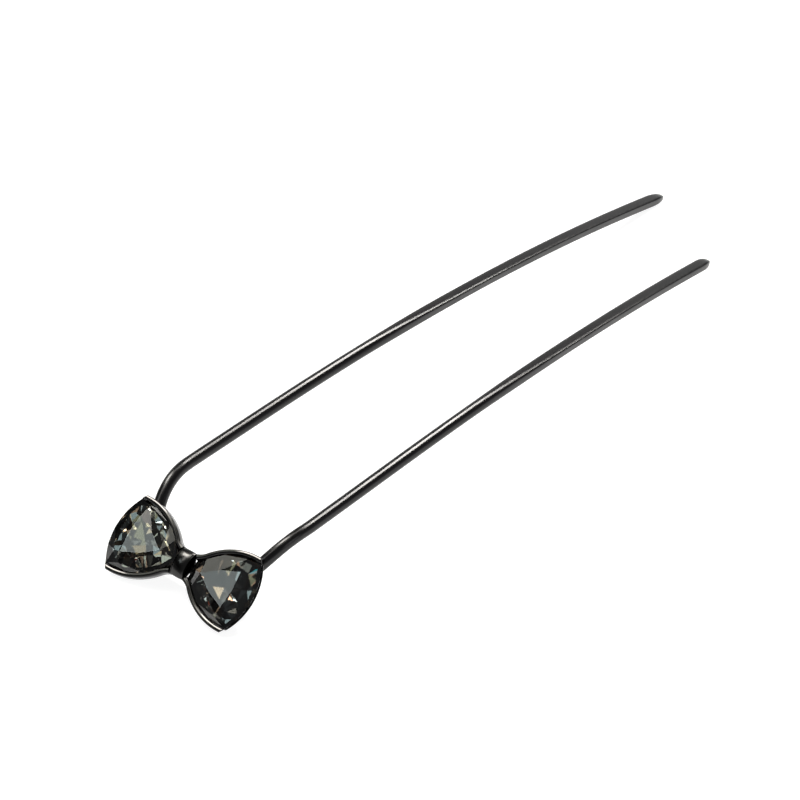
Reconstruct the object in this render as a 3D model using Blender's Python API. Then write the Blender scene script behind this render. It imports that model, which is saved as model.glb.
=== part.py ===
# U-shaped hairpin: a bent wire fork that carries a bow of two cut crystals.
# Metres, +Z up, lying on a table with the bow at -Y and the prong tips at +Y.
# The bow has a frame of its own: u across, v up its slope, n square to its face.

import math

import bmesh
import bpy
from mathutils import Vector

# Clearance between pieces that touch on the real pin
seat_gap = 0.00015

# Bow as a whole
bow_tilt = math.radians(40.8)
loop_corner_u = 0.01100
loop_corner_v = 0.00615
loop_point_u = 0.00050
rim_side_bulge = 0.00180
outer_side_bulge = 0.00220

# Cups that hold the crystals
cup_depth = 0.00170
cup_floor = 0.00040
rim_wall = 0.00072
corner_land = 0.00003
lip_wall = 0.00030
lip_setback = 0.00020
lip_round = 0.00010
lip_height = 0.00020
lip_floor_inset = 0.00035
lip_back_inset = 0.00055
end_back_inset = 0.00020
end_notch = 0.00035
rim_round = 0.00026
rim_shoulder = 0.00009
rim_end_undercut = 0.00050
back_chamfer = 0.00045
cup_root_u = 0.00260
cup_root_half_height = 0.00220
lip_shares = (0.0, 0.11, 0.26, 0.42, 0.58, 0.74, 0.89, 1.0)
rim_arc_steps = 10

# Crystals and the glue under them
glue_thickness = 0.00015
crystal_girdle = 0.00015
crystal_foot = 0.00020
crown_height = 0.00130
table_inner_u = 0.00386
table_outer_u = 0.00975
table_corner_v = 0.00295
table_bulge = 0.00030
star_reach_share = 0.50
star_height_share = 0.66
foot_inset = 0.00045
glue_inset = 0.00045

# Knot of the bow
knot_half_height = 0.00220
knot_half_depth = 0.00115
knot_rise = 0.00075
band_wall = 0.00035
band_half_width = 0.00120
band_crown = 0.00025
band_end_crown = 0.00007
knot_roundness = 2.8
knot_sides = 28

# Wire fork: its outline as if flattened, then the bends seen from its side
wire_radius = 0.00100
crossbar_half = 0.00186
crossbar_offset = 0.00020
corner_radius = 0.00884
corner_splay = math.radians(18.0)
shoulder_start = 0.00525
shoulder_radius = 0.01120
widest_reach = 0.01500
widest_half_gap = 0.01156
tip_half_gap = 0.00837
straight_closing_share = 0.567
prong_reach = 0.11690
right_prong_shortfall = 0.00990
droop_start = 0.02950
droop_angle = math.radians(11.2)
droop_power = 1.35

# Flattened ends of the prongs
coin_start = 0.05000
coin_end = 0.07600
coin_half_width = 0.00097
coin_half_thickness = 0.00062
coin_squareness = 4.6
left_tip_length = 0.00300
right_tip_length = 0.00220
tip_ring_shares = (1.0, 0.72, 0.45, 0.24, 0.10, 0.02)
wire_sides = 16
corner_steps = 14
shoulder_steps = 7
prong_steps = 34
profile_steps = 900

# Solder that holds the wire to the backs of the cups
solder_turn = math.radians(50.0)
solder_half_length = 0.00230
solder_half_width = 0.00195
solder_cover = 0.00035
solder_sides = 24
solder_ring_shares = ((0.0, 1.0), (0.30, 0.98), (0.62, 0.86), (0.86, 0.62), (1.0, 0.34))

# Places that follow from the sizes above: the cups' ends at the knot, then levels along n
cup_end_u = band_half_width + seat_gap
floor_level = cup_floor - cup_depth
glue_level = floor_level + seat_gap
crystal_level = glue_level + glue_thickness + seat_gap
lip_level = crystal_level - seat_gap
girdle_level = crystal_level + crystal_foot
crown_level = girdle_level + crystal_girdle
table_level = crown_level + crown_height
wire_level = -(cup_depth + seat_gap + wire_radius)
shoulder_end = shoulder_start + shoulder_radius * bow_tilt


def clear_scene():
    for item in list(bpy.data.objects):
        bpy.data.objects.remove(item, do_unlink=True)


def make_material(name, colour, roughness, metallic):
    material = bpy.data.materials.new(name)
    material.use_nodes = True
    shader = material.node_tree.nodes["Principled BSDF"]
    shader.inputs["Base Color"].default_value = (*colour, 1.0)
    shader.inputs["Roughness"].default_value = roughness
    shader.inputs["Metallic"].default_value = metallic
    return material


def finish_mesh(name, shape, parent, look, smooth_angle=None):
    bmesh.ops.recalc_face_normals(shape, faces=shape.faces)
    mesh = bpy.data.meshes.new(name)
    shape.to_mesh(mesh)
    shape.free()
    if smooth_angle is not None:
        mesh.shade_smooth()
        mesh.set_sharp_from_angle(angle=smooth_angle)
    item = bpy.data.objects.new(name, mesh)
    bpy.context.collection.objects.link(item)
    item.parent = parent
    item.data.materials.append(make_material(name, *look))
    return item


def make_empty(name, parent=None):
    empty = bpy.data.objects.new(name, None)
    bpy.context.collection.objects.link(empty)
    empty.parent = parent
    return empty


def loft(rings, closed=False):
    """Skin a list of rings of equal count, with end caps unless the loft closes on itself."""
    shape = bmesh.new()
    rows = [[shape.verts.new(point) for point in ring] for ring in rings]
    pairs = list(zip(rows, rows[1:]))
    if closed:
        pairs.append((rows[-1], rows[0]))
    for lower, upper in pairs:
        count = len(lower)
        for i in range(count):
            j = (i + 1) % count
            shape.faces.new((lower[i], lower[j], upper[j], upper[i]))
    if not closed:
        shape.faces.new(rows[0])
        shape.faces.new(rows[-1])
    return shape


# The curved triangle of a loop

def side_arc(start, end, bulge):
    """Centre and radius of the arc from start to end that bulges to the left of its chord."""
    chord = end - start
    radius = (chord.length ** 2 / 4 + bulge ** 2) / (2 * bulge)
    outward = Vector((-chord.y, chord.x)).normalized()
    return (start + end) / 2 - outward * (radius - bulge), radius


def circle_meeting(first, first_radius, second, second_radius, near):
    """The crossing of two circles that lies nearest to a given point."""
    apart = second - first
    span = apart.length
    along = (first_radius ** 2 - second_radius ** 2 + span ** 2) / (2 * span)
    across = math.sqrt(max(first_radius ** 2 - along ** 2, 0))
    foot = first + apart * (along / span)
    normal = Vector((-apart.y, apart.x)) / span
    return min((foot + normal * across, foot - normal * across), key=lambda p: (p - near).length)


def arc_points(centre, start, end, shares):
    radius = (start - centre).length
    a = math.atan2(start.y - centre.y, start.x - centre.x)
    b = math.atan2(end.y - centre.y, end.x - centre.x)
    sweep = (b - a + math.pi) % (2 * math.pi) - math.pi
    angles = [a + sweep * share for share in shares]
    return [centre + Vector((math.cos(t), math.sin(t))) * radius for t in angles]


def loop_outline(rim_inset, rim_end_inset, lip_inset, knot_end_inset):
    """Right loop's outline, moved inward; each point comes with True where the rim is high.

    The rims stand along the two long sides and stop at the outer side. That side between
    them and the end at the knot are low.
    """
    point = Vector((loop_point_u, 0))
    top = Vector((loop_corner_u, loop_corner_v))
    low = Vector((loop_corner_u, -loop_corner_v))
    rim_centre, rim_radius = side_arc(point, top, rim_side_bulge)
    lip_centre, lip_radius = side_arc(top, low, outer_side_bulge)
    wall_inset = max(rim_wall, rim_inset) + corner_land
    end_radius = lip_radius - rim_end_inset
    corner = circle_meeting(rim_centre, rim_radius - rim_inset, lip_centre, end_radius, top)
    wall_end = circle_meeting(rim_centre, rim_radius - wall_inset, lip_centre, end_radius, top)
    lip_start = circle_meeting(
        rim_centre, rim_radius - wall_inset - corner_land, lip_centre, lip_radius - lip_inset, top)
    join = cup_root_u + rim_inset
    rise = math.sqrt((rim_radius - rim_inset) ** 2 - (join - rim_centre.x) ** 2)
    start = Vector((join, rim_centre.y + rise))
    steps = [i / rim_arc_steps for i in range(rim_arc_steps + 1)]
    root = Vector((cup_end_u + knot_end_inset, cup_root_half_height - rim_inset))
    notch = Vector((root.x, root.y - end_notch))
    upper = [notch, root] + arc_points(rim_centre, start, corner, steps) + [wall_end]
    outer = arc_points(lip_centre, lip_start, Vector((lip_start.x, -lip_start.y)), lip_shares)
    lower = [Vector((p.x, -p.y)) for p in reversed(upper)]
    points = upper + outer + lower
    rim = [True] * (len(upper) - 1)
    high = [False] + rim + [False] * len(outer) + rim + [False]
    return points, high


def loop_ring(side, insets, rim_n, lip_n):
    """Ring of a loop; insets are those of its rims, their outer ends, its lip and its knot end."""
    points, high = loop_outline(*insets)
    return [(side * p.x, p.y, rim_n if tall else lip_n) for p, tall in zip(points, high)]


def make_cup(name, side, parent, look):
    belly = back_chamfer - cup_depth
    lip_edge = lip_level - lip_round
    lip_ease = lip_level - lip_round / 2
    rim_far = rim_wall - rim_round
    lip_far = lip_wall - lip_round
    lip_near = lip_setback + lip_round
    lip_inner = lip_setback + lip_wall
    lip_back = lip_setback + lip_back_inset
    end_back = rim_end_undercut + back_chamfer
    rows = [
        ((back_chamfer, end_back, lip_back, end_back_inset), -cup_depth, -cup_depth),
        ((0, rim_end_undercut, lip_setback, 0), belly, lip_level - lip_height),
        ((0, 0, lip_setback, 0), -rim_round, lip_edge),
        ((rim_shoulder, 0, lip_setback, 0), -rim_shoulder, lip_ease),
        ((rim_round, lip_round, lip_near, lip_round), 0, lip_level),
        ((rim_far, lip_far, lip_setback + lip_far, lip_far), 0, lip_level),
        ((rim_wall - rim_shoulder, lip_wall, lip_inner, lip_wall), -rim_shoulder, lip_ease),
        ((rim_wall, lip_wall, lip_inner, lip_wall), -rim_round, lip_edge),
        ((rim_wall, lip_wall, lip_inner + lip_floor_inset, lip_wall), floor_level, floor_level),
    ]
    rings = [loop_ring(side, *row) for row in rows]
    return finish_mesh(name, loft(rings), parent, look, math.radians(40))


def make_glue(name, side, parent, look):
    lip_inset = lip_setback + lip_wall + lip_floor_inset + glue_inset
    insets = (rim_wall + glue_inset, lip_wall + glue_inset, lip_inset, lip_wall + glue_inset)
    levels = (glue_level, glue_level + glue_thickness)
    rings = [loop_ring(side, insets, level, level) for level in levels]
    return finish_mesh(name, loft(rings), parent, look)


def table_corners():
    """Six corners of the crystal's table: its three points and the bowed middles between them."""
    inner = Vector((table_inner_u, 0))
    top = Vector((table_outer_u, table_corner_v))
    low = Vector((table_outer_u, -table_corner_v))
    corners = []
    for start, end in ((inner, top), (top, low), (low, inner)):
        chord = end - start
        outward = Vector((-chord.y, chord.x)).normalized()
        corners.append(start)
        corners.append((start + end) / 2 + outward * table_bulge)
    return corners


def make_crystal(name, side, parent, look):
    """Cut stone: the closed skin over its table, star, girdle and foot corners.

    Its outer side lies over the lip, so that nothing hides it from the side.
    """
    rim_inset = rim_wall + seat_gap
    knot_inset = lip_wall + seat_gap
    girdle = loop_outline(rim_inset, 0, 0, knot_inset)[0]
    outer_foot = lip_setback + lip_wall + foot_inset
    foot = loop_outline(rim_inset + foot_inset, outer_foot, outer_foot, knot_inset + foot_inset)[0]
    table = table_corners()
    middle = sum(table, Vector((0, 0))) / len(table)
    points = [(p, table_level) for p in table]
    for i, corner in enumerate(table):
        between = (corner + table[(i + 1) % len(table)]) / 2
        heading = (between - middle).normalized()
        edge = max(girdle, key=lambda p: (p - middle).normalized().dot(heading))
        star = between.lerp(edge, star_reach_share)
        points.append((star, crown_level + crown_height * star_height_share))
    points += [(p, crown_level) for p in girdle]
    points += [(p, girdle_level) for p in girdle]
    points += [(p, crystal_level) for p in foot]
    shape = bmesh.new()
    verts = [shape.verts.new((side * p.x, p.y, level)) for p, level in points]
    skin = bmesh.ops.convex_hull(shape, input=verts)
    spare = [v for v in skin["geom_interior"] if isinstance(v, bmesh.types.BMVert)]
    bmesh.ops.delete(shape, geom=spare, context="VERTS")
    return finish_mesh(name, shape, parent, look)


# The knot

def knot_ring(u, half_height, half_depth):
    centre = knot_half_depth - knot_rise
    ring = []
    for i in range(knot_sides):
        angle = 2 * math.pi * i / knot_sides
        c, s = math.cos(angle), math.sin(angle)
        v = math.copysign(abs(c) ** (2 / knot_roundness), c) * half_height
        n = math.copysign(abs(s) ** (2 / knot_roundness), s) * half_depth
        ring.append((u, v, n - centre))
    return ring


def make_core(parent, look):
    inset = band_wall + seat_gap
    reach = cup_end_u - seat_gap
    half_height = knot_half_height - inset
    half_depth = knot_half_depth - inset
    rings = [knot_ring(u, half_height, half_depth) for u in (-reach, 0, reach)]
    return finish_mesh("bow_core", loft(rings), parent, look, math.radians(40))


def make_band(parent, look):
    """Strip wrapped round the core, crowned across its width, most of all on its face."""
    crown_shares = (-1.0, -0.82, -0.45, 0.0, 0.45, 0.82, 1.0)
    rings = []
    for share in crown_shares:
        drop, end_drop = band_crown * share ** 2, band_end_crown * share ** 2
        u = band_half_width * share
        rings.append(knot_ring(u, knot_half_height - end_drop, knot_half_depth - drop))
    for share in (1.0, -1.0):
        u = band_half_width * share
        rings.append(knot_ring(u, knot_half_height - band_wall, knot_half_depth - band_wall))
    return finish_mesh("knot_band", loft(rings, closed=True), parent, look, math.radians(50))


# The wire fork

def wire_pitch(reach):
    """Slope of the wire, seen from the side, at a distance from the bow's middle."""
    if reach < shoulder_start:
        return bow_tilt
    if reach < shoulder_end:
        return bow_tilt * (shoulder_end - reach) / (shoulder_end - shoulder_start)
    if reach < droop_start:
        return 0
    return -droop_angle * ((reach - droop_start) / (prong_reach - droop_start)) ** droop_power


def side_profile():
    """Side view of the wire as a running sum of its slope: (reach, y, z) in even steps."""
    step = prong_reach / profile_steps
    y = -wire_level * math.sin(bow_tilt)
    z = wire_level * math.cos(bow_tilt)
    rows = [(0, y, z)]
    for i in range(profile_steps):
        pitch = wire_pitch((i + 0.5) * step)
        y += math.cos(pitch) * step
        z += math.sin(pitch) * step
        rows.append(((i + 1) * step, y, z))
    return rows


def half_gap(reach):
    """Distance of a prong from the middle plane, past the corner of the fork."""
    corner_reach = crossbar_offset + corner_radius * (1 - math.sin(corner_splay))
    corner_x = crossbar_half + corner_radius * math.cos(corner_splay)
    closing = (widest_half_gap - tip_half_gap) / (prong_reach - widest_reach)
    if reach < widest_reach:
        span = widest_reach - corner_reach
        t = (reach - corner_reach) / span
        start_slope = math.tan(corner_splay) * span
        end_slope = -closing * straight_closing_share * span
        rise = 2 * t ** 3 - 3 * t ** 2
        return (corner_x * (1 + rise) - widest_half_gap * rise
                + start_slope * (t ** 3 - 2 * t ** 2 + t) + end_slope * (t ** 3 - t ** 2))
    t = (reach - widest_reach) / (prong_reach - widest_reach)
    share = straight_closing_share * t + (1 - straight_closing_share) * t ** 2
    return widest_half_gap - (widest_half_gap - tip_half_gap) * share


def prong_stations(reach_end, tip_length):
    """Flat places (x, reach, size) of one half of the fork, from the crossbar to the tip."""
    places = [(crossbar_half / 2, crossbar_offset, 1.0)]
    for i in range(corner_steps + 1):
        turn = (math.pi / 2 - corner_splay) * i / corner_steps
        x = crossbar_half + corner_radius * math.sin(turn)
        reach = crossbar_offset + corner_radius * (1 - math.cos(turn))
        places.append((x, reach, 1.0))
    start = places[-1][1]
    for i in range(1, shoulder_steps + 1):
        reach = start + (widest_reach - start) * i / shoulder_steps
        places.append((half_gap(reach), reach, 1.0))
    last = reach_end - tip_length
    for i in range(1, prong_steps):
        reach = widest_reach + (last - widest_reach) * i / prong_steps
        places.append((half_gap(reach), reach, 1.0))
    for share in tip_ring_shares:
        reach = reach_end - tip_length * share
        places.append((half_gap(reach), reach, math.sqrt(1 - (1 - share) ** 2)))
    return places


def wire_ring(place, tangent, profile, radius_over):
    """One cross-section: round near the bow, flattened towards the tips."""
    x, reach, size = place
    index = min(int(reach / prong_reach * profile_steps), profile_steps - 1)
    low, high = profile[index], profile[index + 1]
    share = (reach - low[0]) / (high[0] - low[0])
    centre = Vector((x, low[1] + (high[1] - low[1]) * share, low[2] + (high[2] - low[2]) * share))
    pitch = wire_pitch(reach)
    forward = Vector((0, math.cos(pitch), math.sin(pitch)))
    normal = Vector((0, -math.sin(pitch), math.cos(pitch)))
    heading = Vector((tangent[0], 0, 0)) + forward * tangent[1]
    across = heading.cross(normal).normalized()
    coin = min(max((reach - coin_start) / (coin_end - coin_start), 0), 1)
    coin = coin * coin * (3 - 2 * coin)
    half_width = wire_radius + (coin_half_width - wire_radius) * coin + radius_over
    half_thickness = wire_radius + (coin_half_thickness - wire_radius) * coin + radius_over
    power = 2 / (2 + (coin_squareness - 2) * coin)
    ring = []
    for i in range(wire_sides):
        angle = 2 * math.pi * (i + 0.5) / wire_sides
        c, s = math.cos(angle), math.sin(angle)
        a = math.copysign(abs(c) ** power, c) * half_width * size
        b = math.copysign(abs(s) ** power, s) * half_thickness * size
        ring.append(centre + across * a + normal * b)
    return ring


def wire_rings(places, radius_over=0):
    profile = side_profile()
    rings = []
    for i, place in enumerate(places):
        before = places[max(i - 1, 0)]
        after = places[min(i + 1, len(places) - 1)]
        tangent = (after[0] - before[0], after[1] - before[1])
        rings.append(wire_ring(place, tangent, profile, radius_over))
    return rings


def fork_places():
    left = prong_stations(prong_reach, left_tip_length)
    right = prong_stations(prong_reach - right_prong_shortfall, right_tip_length)
    return [(-x, reach, size) for x, reach, size in reversed(left)] + right


def make_fork(parent, look):
    return finish_mesh("wire_fork", loft(wire_rings(fork_places())), parent, look, math.radians(35))


# Solder saddles behind the cups

def make_wire_cutter(side, parent):
    """The wire's corner with clearance, used only to cut the solder."""
    places = [p for p in prong_stations(prong_reach, left_tip_length) if p[1] < shoulder_start]
    places = [(side * x, reach, size) for x, reach, size in places]
    rings = wire_rings(places, seat_gap)
    dark = ((0.02, 0.02, 0.02), 0.5, 0.0)
    cutter = finish_mesh("wire_clearance", loft(rings), parent, dark)
    cutter.hide_render = True
    cutter.display_type = "WIRE"
    return cutter


def make_solder(name, side, parent, cutter, look):
    """Mound of solder under the wire, open where the wire lies in it."""
    centre_u = crossbar_half + corner_radius * math.cos(solder_turn)
    centre_v = crossbar_offset + corner_radius * (1 - math.sin(solder_turn))
    along = Vector((math.sin(solder_turn), math.cos(solder_turn)))
    across = Vector((math.cos(solder_turn), -math.sin(solder_turn)))
    top = -(cup_depth + seat_gap)
    height = 2 * wire_radius + seat_gap + solder_cover
    rings = []
    for depth_share, size in solder_ring_shares:
        ring = []
        for i in range(solder_sides):
            angle = 2 * math.pi * i / solder_sides
            place = along * (solder_half_length * math.cos(angle) * size)
            place += across * (solder_half_width * math.sin(angle) * size)
            ring.append((side * (centre_u + place.x), centre_v + place.y, top - height * depth_share))
        rings.append(ring)
    item = finish_mesh(name, loft(rings), parent, look, math.radians(40))
    cut = item.modifiers.new("wire_channel", "BOOLEAN")
    cut.operation = "DIFFERENCE"
    cut.solver = "EXACT"
    cut.object = cutter
    return item


# Rest position on the table

def world_points(item):
    return [item.matrix_world @ v.co for v in item.data.vertices]


def lay_on_table(root, bow_items, fork):
    """Tip the pin until the bow's low edge and the longer prong's tip are level, then place it."""
    for _ in range(4):
        bpy.context.view_layer.update()
        bow_low = min((p for item in bow_items for p in world_points(item)), key=lambda p: p.z)
        middle_y = root.location.y + prong_reach / 2
        tip_low = min((p for p in world_points(fork) if p.y > middle_y), key=lambda p: p.z)
        root.rotation_euler.x -= math.atan2(tip_low.z - bow_low.z, tip_low.y - bow_low.y)
    bpy.context.view_layer.update()
    points = [p for item in bow_items + [fork] for p in world_points(item)]
    middle_y = (min(p.y for p in points) + max(p.y for p in points)) / 2
    root.location -= Vector((0, middle_y, min(p.z for p in points)))
    bpy.context.view_layer.update()


def main():
    clear_scene()
    plated = ((0.055, 0.055, 0.060), 0.16, 1.0)
    wire_plating = ((0.085, 0.085, 0.090), 0.20, 1.0)
    smoky_glass = ((0.075, 0.080, 0.082), 0.04, 0.0)
    clear_glue = ((0.30, 0.28, 0.25), 0.35, 0.0)
    solder_metal = ((0.10, 0.10, 0.105), 0.35, 1.0)

    root = make_empty("pin_rest")
    bow = make_empty("bow_frame", root)
    bow.rotation_euler.x = bow_tilt

    fork = make_fork(root, wire_plating)
    bow_items = []
    for word, side in (("left", -1), ("right", 1)):
        bow_items.append(make_cup(word + "_cup", side, bow, plated))
        make_glue(word + "_glue_bed", side, bow, clear_glue)
        make_crystal(word + "_crystal", side, bow, smoky_glass)
        cutter = make_wire_cutter(side, root)
        make_solder(word + "_solder", side, bow, cutter, solder_metal)
    make_core(bow, plated)
    make_band(bow, plated)
    lay_on_table(root, bow_items, fork)


main()
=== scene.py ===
# U-shaped hairpin with a bow of two cut crystals: the looks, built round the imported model.
import math
import random

import bmesh
import bpy
from mathutils import Matrix, Vector
from mathutils.geometry import intersect_plane_plane, intersect_line_plane
from mathutils.kdtree import KDTree


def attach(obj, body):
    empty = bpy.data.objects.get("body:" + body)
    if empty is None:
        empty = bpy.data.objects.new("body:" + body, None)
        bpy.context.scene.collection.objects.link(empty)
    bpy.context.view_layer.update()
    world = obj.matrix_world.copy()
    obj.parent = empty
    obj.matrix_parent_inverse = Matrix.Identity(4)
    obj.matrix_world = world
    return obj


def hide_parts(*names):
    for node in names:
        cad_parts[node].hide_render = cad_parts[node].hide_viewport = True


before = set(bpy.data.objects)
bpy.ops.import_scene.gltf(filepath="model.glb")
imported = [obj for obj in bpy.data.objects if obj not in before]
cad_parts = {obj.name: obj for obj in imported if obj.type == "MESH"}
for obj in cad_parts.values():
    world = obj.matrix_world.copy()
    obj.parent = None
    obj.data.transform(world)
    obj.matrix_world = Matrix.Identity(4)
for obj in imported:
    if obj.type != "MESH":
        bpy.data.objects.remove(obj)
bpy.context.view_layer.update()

mm = 0.001

# The bow's own frame (u across, v up its slope, n out of its face) and the prongs' frame
pinMiddle = Vector((0, -0.0558577, 0.0049739))
bowTilt, restTilt = 40.8, -0.725942
prongPlace = Matrix.Translation(pinMiddle) @ Matrix.Rotation(math.radians(restTilt), 4, "X")
bowPlace = prongPlace @ Matrix.Rotation(math.radians(bowTilt), 4, "X")


# Camera, floor and light

# The eye and its turns are given in the prongs' frame
camera = {
    "eye": (0.786779, -0.842353, 0.917211), "azimuth": 41.385, "elevation": 37.502,
    "focal": 462.4, "sensor": 36, "shiftX": -0.01946, "shiftY": -0.02507, "clip": (0.05, 20),
}
studio = {
    "floorColour": (0.33, 0.33, 0.33), "floorRough": 0.9, "floorLift": 0.90, "floorSize": 6.0,
    "roomColour": (0.97, 0.985, 1), "wallBand": 0.95, "wallHeight": 0.13, "wallFade": 0.16, "ceiling": 0.20,
    "darkSide": (-0.83, -0.56, 0), "darkFade": (0.45, 0.85), "darkShare": 0.2,
    "lampReach": 1.1, "lampStep": 0.01,
}
# Towards: where a lamp hangs, as seen from the pin. Along: the way its width runs
lamps = {
    "backStrip": {"towards": (-0.12, 0.625, 0.77), "along": (1, 0, 0.16), "size": (0.55, 0.11),
                  "glow": 54.0, "colour": (1, 0.97, 0.93)},
    "backLow": {"towards": (-0.55, 0.76, 0.36), "along": (1, 0.7, 0), "size": (0.50, 0.35),
                "glow": 0.8, "colour": (1, 1, 1)},
    "arch": {"towards": (-0.51, 0.06, 0.86), "along": (0.86, -0.12, 0.51), "size": (0.50, 0.24),
             "glow": 20.0, "colour": (1, 0.96, 0.91)},
    "archWings": {"towards": (-0.51, 0.06, 0.86), "along": (0.86, -0.12, 0.51), "size": (1.75, 0.34),
                  "glow": 1.7, "colour": (1, 1, 0.90)},
    "frontLeft": {"towards": (-0.52, -0.51, 0.68), "along": (1, -1, 0), "size": (0.42, 0.24),
                  "glow": 3.0, "colour": (0.88, 0.98, 0.97)},
    "rightSide": {"towards": (0.86, 0.05, 0.42), "along": (0, 1, 0), "size": (0.5, 0.35),
                  "glow": 1.2, "colour": (1, 1, 1)},
    "ridge": {"towards": (-0.306, 0.077, 0.949), "along": (0.23, 1, 0), "size": (1.40, 0.25),
              "glow": 4.0, "colour": (1, 0.98, 0.92)},
}


def addCamera():
    lens = bpy.data.cameras.new("photoCamera")
    eye = bpy.data.objects.new("photoCamera", lens)
    bpy.context.scene.collection.objects.link(eye)
    lens.lens = camera["focal"]
    lens.sensor_width = camera["sensor"]
    lens.shift_x = camera["shiftX"]
    lens.shift_y = camera["shiftY"]
    lens.clip_start, lens.clip_end = camera["clip"]
    turn = Matrix.Rotation(math.radians(camera["azimuth"]), 4, "Z")
    turn @= Matrix.Rotation(math.radians(90 - camera["elevation"]), 4, "X")
    eye.matrix_world = prongPlace @ Matrix.Translation(camera["eye"]) @ turn
    bpy.context.scene.camera = eye


def newMaterial(name):
    material = bpy.data.materials.new(name)
    material.use_nodes = True
    tree = material.node_tree
    return material, tree, tree.nodes["Principled BSDF"]


# Adds a math node: numbers are set on it, and sockets are linked to it
def addMath(tree, operation, *values):
    node = tree.nodes.new("ShaderNodeMath")
    node.operation = operation
    for socket, value in zip(node.inputs, values):
        if isinstance(value, (int, float)):
            socket.default_value = value
        else:
            tree.links.new(value, socket)
    return node.outputs[0]


# Turns one span of values into another
def addRange(tree, source, reads, gives=(0, 1), kind="LINEAR"):
    node = tree.nodes.new("ShaderNodeMapRange")
    node.interpolation_type = kind
    node.inputs["From Min"].default_value, node.inputs["From Max"].default_value = reads
    node.inputs["To Min"].default_value, node.inputs["To Max"].default_value = gives
    tree.links.new(source, node.inputs["Value"])
    return node.outputs[0]


# The floor is lifted to white where it is seen, directly or in the metal and glass, and keeps its shadows
def addFloor():
    bpy.ops.mesh.primitive_plane_add(size=studio["floorSize"])
    floor = bpy.context.object
    floor.name = "studioFloor"
    material, tree, shader = newMaterial("paleFloor")
    shader.inputs["Base Color"].default_value = (*studio["floorColour"], 1)
    shader.inputs["Roughness"].default_value = studio["floorRough"]
    shader.inputs["Specular IOR Level"].default_value = 0
    rays = tree.nodes.new("ShaderNodeLightPath").outputs
    mirrored = addMath(tree, "MAXIMUM", rays["Is Glossy Ray"], rays["Is Transmission Ray"])
    seen = addMath(tree, "MAXIMUM", rays["Is Camera Ray"], mirrored)
    lift = addMath(tree, "MULTIPLY", seen, studio["floorLift"])
    shader.inputs["Emission Color"].default_value = (1, 1, 1, 1)
    tree.links.new(lift, shader.inputs["Emission Strength"])
    floor.data.materials.append(material)
    floor.select_set(False)


# White walls low down, a dim ceiling above and one darker side, the same for every kind of ray
def addWorld():
    world = bpy.data.worlds.new("studio")
    bpy.context.scene.world = world
    world.use_nodes = True
    tree = world.node_tree
    place = tree.nodes.new("ShaderNodeTexCoord")
    split = tree.nodes.new("ShaderNodeSeparateXYZ")
    tree.links.new(place.outputs["Generated"], split.inputs[0])
    toDark = tree.nodes.new("ShaderNodeVectorMath")
    toDark.operation = "DOT_PRODUCT"
    toDark.inputs[1].default_value = studio["darkSide"]
    tree.links.new(place.outputs["Generated"], toDark.inputs[0])
    rise = (studio["wallHeight"], studio["wallHeight"] + studio["wallFade"])
    fade = addRange(tree, split.outputs["Z"], rise, (studio["wallBand"], studio["ceiling"]), "SMOOTHSTEP")
    shades = (1, studio["darkShare"])
    shade = addRange(tree, toDark.outputs["Value"], studio["darkFade"], shades, "SMOOTHSTEP")
    back = tree.nodes["Background"]
    back.inputs["Color"].default_value = (*studio["roomColour"], 1)
    tree.links.new(addMath(tree, "MULTIPLY", fade, shade), back.inputs["Strength"])


# Each lamp hangs a little behind the one before it, so lamps that overlap don't share a plane
def addLamps():
    for i, (name, lamp) in enumerate(lamps.items()):
        width, height = lamp["size"]
        reach = studio["lampReach"] + studio["lampStep"] * i
        light = bpy.data.lights.new(name, "AREA")
        light.shape = "RECTANGLE"
        light.size, light.size_y = width, height
        light.energy = lamp["glow"] * math.pi * width * height
        light.color = lamp["colour"]
        item = bpy.data.objects.new(name, light)
        bpy.context.scene.collection.objects.link(item)
        heading = Vector(lamp["towards"]).normalized()
        rise = heading.cross(Vector(lamp["along"])).normalized()
        facing = Matrix((rise.cross(heading), rise, heading)).transposed()
        item.matrix_world = Matrix.Translation(heading * reach) @ facing.to_4x4()


bpy.context.scene.view_settings.view_transform = "Standard"
addCamera()
addFloor()
addWorld()
addLamps()
print("camera, floor and light are set")


# Shared effects

def makeGroup(name, inputs, outputs):
    group = bpy.data.node_groups.new(name, "ShaderNodeTree")
    for label, value in inputs:
        socket = group.interface.new_socket(label, in_out="INPUT", socket_type="NodeSocketFloat")
        socket.default_value = value
    for label in outputs:
        group.interface.new_socket(label, in_out="OUTPUT", socket_type="NodeSocketFloat")
    return group, group.nodes.new("NodeGroupInput"), group.nodes.new("NodeGroupOutput")


handling = {
    "cloudSize": 0.004, "cloudDetail": 3, "hairlineLength": 0.006, "hairlineWidth": 0.00008,
    "hairlineDetail": 2, "pitScale": 900, "pitEdge": (0.12, 0.02),
}


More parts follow.
